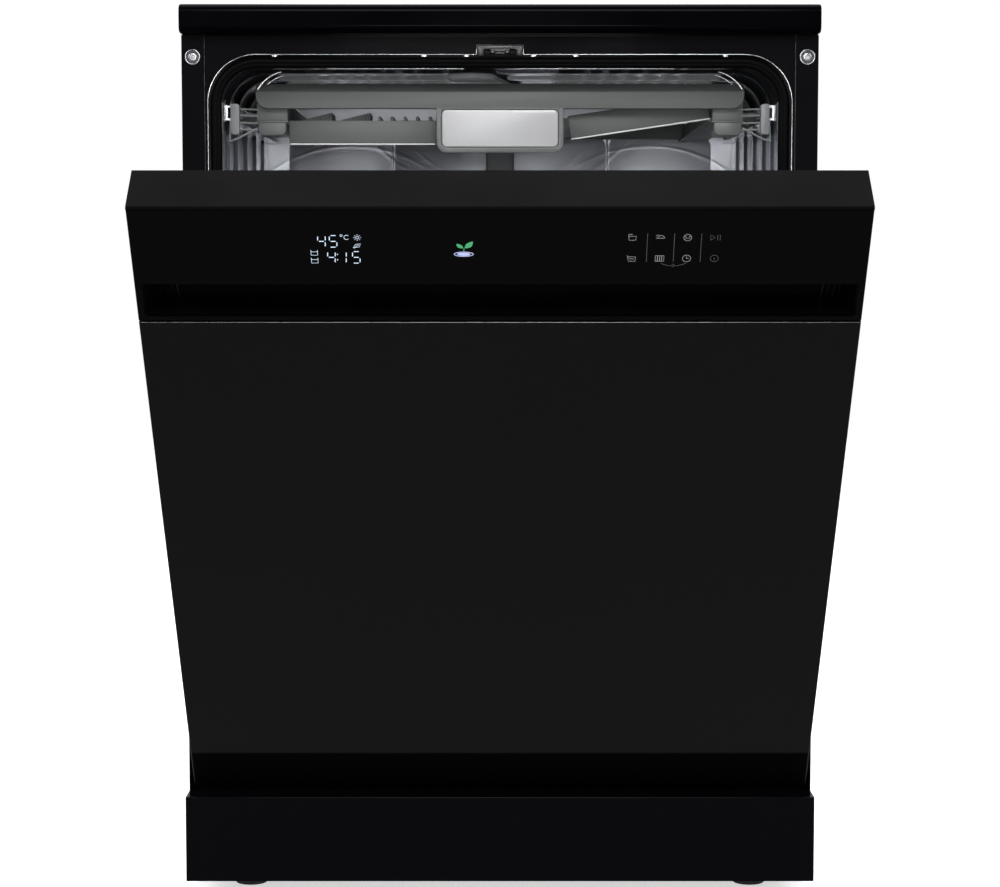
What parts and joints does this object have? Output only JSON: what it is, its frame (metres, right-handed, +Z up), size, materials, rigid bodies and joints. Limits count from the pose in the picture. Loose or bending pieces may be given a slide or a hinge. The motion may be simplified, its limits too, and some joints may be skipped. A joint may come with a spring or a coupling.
{
  "type": "dishwasher",
  "caption": "Freestanding full-size black dishwasher with a drop-down door shown ajar, recessed grip, touch panel, steel tub, cutlery tray, baskets and spray arms.",
  "frame": {"origin": "on the floor at mid-width, in the plane of the side panels' front flanges", "axes": "+X to the right seen from the front, +Y towards the back, +Z up"},
  "size_m": [0.598, 0.9714, 0.845],
  "materials": {
    "worktop_black": "black laminate, satin gloss",
    "cabinet_black": "black enamel, satin",
    "back_steel": "zinc-coated sheet",
    "plinth_black": "black enamel, gloss",
    "base_plastic": "moulded dark plastic",
    "foot_plastic": "moulded black plastic",
    "screw_steel": "bright zinc plate",
    "latch_black": "moulded black plastic",
    "tub_steel": "bright stainless steel",
    "seal_rubber": "soft black rubber",
    "filter_steel": "stainless mesh",
    "grey_plastic": "grey polypropylene",
    "machine_plastic": "light grey polypropylene",
    "spring_steel": "plain steel",
    "door_black": "black coated panel, soft gloss",
    "control_glass": "black glass-like panel",
    "cap_black": "black satin plastic",
    "pocket_black": "black satin plastic",
    "liner_steel": "brushed stainless steel",
    "board_green": "circuit board in a plastic carrier",
    "dispenser_plastic": "grey moulded plastic",
    "cap_blue": "blue-grey moulded plastic",
    "rail_steel": "stainless steel",
    "tray_grey": "grey-green polypropylene",
    "plate_silver": "silver lacquer",
    "wire_grey": "nylon-coated wire",
    "wheel_plastic": "grey plastic"
  },
  "bodies": {
    "cabinet": {"air_breaker": "machine_plastic", "back_panel": "back_steel", "base_tray": "base_plastic", "circulation_pump": "machine_plastic", "drain_pump": "machine_plastic", "filter_plate": "filter_steel", "front_frame": "cabinet_black", "inlet_valve": "machine_plastic", "kick_plate": "plinth_black", "mains_terminal": "machine_plastic", "salt_reservoir": "machine_plastic", "side_panel_left": "cabinet_black", "side_panel_right": "cabinet_black", "tray_rails": "rail_steel", "tub_back": "tub_steel", "tub_floor": "tub_steel", "tub_wrapper": "tub_steel", "upper_rails": "rail_steel", "worktop": "worktop_black", "flange_screws": "screw_steel", "latch_strike": "latch_black", "tub_seal": "seal_rubber", "sump": "grey_plastic", "feed_duct": "grey_plastic", "door_springs": "spring_steel", "hinge_brackets": "spring_steel", "hinge_pins": "screw_steel"},
    "door": {"door_outer_panel": "door_black", "control_fascia": "control_glass", "door_top_cap": "cap_black", "handle_pocket": "pocket_black", "door_inner_liner": "liner_steel", "door_bottom_seal": "seal_rubber", "display_module": "board_green", "control_board": "board_green", "dispenser_body": "dispenser_plastic", "hinge_arms": "spring_steel", "latch_housing": "latch_black"},
    "dispenser_lid": {"dispenser_lid": "dispenser_plastic"},
    "rinse_aid_cap": {"rinse_aid_cap": "cap_blue"},
    "latch_pawl": {"latch_pawl": "latch_black"},
    "cutlery_tray": {"cutlery_tray": "tray_grey", "tray_handle_plate": "plate_silver"},
    "tray_insert_left": {"tray_insert_left": "tray_grey"},
    "tray_insert_right": {"tray_insert_right": "tray_grey"},
    "upper_basket": {"upper_basket": "wire_grey"},
    "cup_shelf": {"cup_shelf": "wire_grey"},
    "middle_spray_arm": {"middle_spray_arm": "grey_plastic"},
    "lower_basket": {"lower_basket": "wire_grey"},
    "plate_tines": {"plate_tines": "wire_grey"},
    "wheels_front": {"wheels_front": "wheel_plastic"},
    "wheels_rear": {"wheels_rear": "wheel_plastic"},
    "top_spray_arm": {"top_spray_arm": "grey_plastic"},
    "lower_spray_arm": {"lower_spray_arm": "grey_plastic"},
    "filter_cup": {"filter_cup": "grey_plastic"},
    "salt_cap": {"salt_cap": "grey_plastic"},
    "foot_front_left": {"foot_front_left": "foot_plastic"},
    "foot_front_right": {"foot_front_right": "foot_plastic"},
    "foot_rear_left": {"foot_rear_left": "foot_plastic"},
    "foot_rear_right": {"foot_rear_right": "foot_plastic"}
  },
  "joints": [
    {"name": "door_hinge", "type": "hinge", "parent": "cabinet", "child": "door", "pos_m": [0, 0.0074, 0.188], "axis": [1, 0, 0], "range_deg": [-37.5, 52.5], "stiffness_Nm_per_rad": 20, "springref_deg": -37.5},
    {"name": "dispenser_lid_slide", "type": "slide", "parent": "door", "child": "dispenser_lid", "axis": [1, 0, 0], "range_m": [0, 0.062]},
    {"name": "rinse_aid_cap_turn", "type": "hinge", "parent": "door", "child": "rinse_aid_cap", "pos_m": [0.072, -0.18752, 0.41279], "axis": [0, 0.7934, 0.6088], "range_deg": [0, 90]},
    {"name": "latch_pawl_turn", "type": "hinge", "parent": "door", "child": "latch_pawl", "pos_m": [0, -0.3824, 0.6477], "axis": [1, 0, 0], "range_deg": [0, 8], "stiffness_Nm_per_rad": 0.1, "springref_deg": -5.73},
    {"name": "cutlery_tray_slide", "type": "slide", "parent": "cabinet", "child": "cutlery_tray", "axis": [0, -1, 0], "range_m": [0, 0.4]},
    {"name": "tray_insert_left_lift", "type": "slide", "parent": "cutlery_tray", "child": "tray_insert_left", "axis": [0, 0, 1], "range_m": [0, 0.012]},
    {"name": "tray_insert_right_tilt", "type": "hinge", "parent": "cutlery_tray", "child": "tray_insert_right", "pos_m": [0.066, 0.26, 0.7455], "axis": [0, 1, 0], "range_deg": [0, 8.4]},
    {"name": "upper_basket_slide", "type": "slide", "parent": "cabinet", "child": "upper_basket", "axis": [0, -1, 0], "range_m": [0, 0.2]},
    {"name": "cup_shelf_fold", "type": "hinge", "parent": "upper_basket", "child": "cup_shelf", "pos_m": [0.2306, 0.265, 0.5555], "axis": [0, 1, 0], "range_deg": [0, 85]},
    {"name": "middle_spray_arm_spin", "type": "hinge", "parent": "upper_basket", "child": "middle_spray_arm", "pos_m": [0, 0.255, 0.44], "axis": [0, 0, 1], "continuous": true},
    {"name": "lower_basket_slide", "type": "slide", "parent": "cabinet", "child": "lower_basket", "axis": [0, -1, 0], "range_m": [0, 0.055]},
    {"name": "plate_tines_fold", "type": "hinge", "parent": "lower_basket", "child": "plate_tines", "pos_m": [0, 0.2015, 0.2413], "axis": [-1, 0, 0], "range_deg": [0, 88]},
    {"name": "wheels_front_spin", "type": "hinge", "parent": "lower_basket", "child": "wheels_front", "pos_m": [0, 0.09, 0.204], "axis": [1, 0, 0], "continuous": true},
    {"name": "wheels_rear_spin", "type": "hinge", "parent": "lower_basket", "child": "wheels_rear", "pos_m": [0, 0.43, 0.204], "axis": [1, 0, 0], "continuous": true},
    {"name": "top_spray_arm_spin", "type": "hinge", "parent": "cabinet", "child": "top_spray_arm", "pos_m": [0, 0.255, 0.7804], "axis": [0, 0, 1], "continuous": true},
    {"name": "lower_spray_arm_spin", "type": "hinge", "parent": "cabinet", "child": "lower_spray_arm", "pos_m": [0, 0.255, 0.206], "axis": [0, 0, 1], "continuous": true},
    {"name": "filter_cup_lift", "type": "slide", "parent": "cabinet", "child": "filter_cup", "axis": [0, 0, 1], "range_m": [0, 0.04]},
    {"name": "salt_cap_turn", "type": "hinge", "parent": "cabinet", "child": "salt_cap", "pos_m": [-0.088, 0.196, 0.172], "axis": [0, 0, 1], "range_deg": [0, 180]},
    {"name": "foot_front_left_turn", "type": "hinge", "parent": "cabinet", "child": "foot_front_left", "pos_m": [-0.244, 0.044, 0], "axis": [0, 0, 1], "continuous": true},
    {"name": "foot_front_right_turn", "type": "hinge", "parent": "cabinet", "child": "foot_front_right", "pos_m": [0.244, 0.044, 0], "axis": [0, 0, 1], "continuous": true},
    {"name": "foot_rear_left_turn", "type": "hinge", "parent": "cabinet", "child": "foot_rear_left", "pos_m": [-0.244, 0.495, 0], "axis": [0, 0, 1], "continuous": true},
    {"name": "foot_rear_right_turn", "type": "hinge", "parent": "cabinet", "child": "foot_rear_right", "pos_m": [0.244, 0.495, 0], "axis": [0, 0, 1], "continuous": true}
  ],
  "couplings": [
    {"joint": "wheels_front_spin", "follows": "lower_basket_slide", "rad_per_m": 55.556},
    {"joint": "wheels_rear_spin", "follows": "lower_basket_slide", "rad_per_m": 55.556}
  ]
}
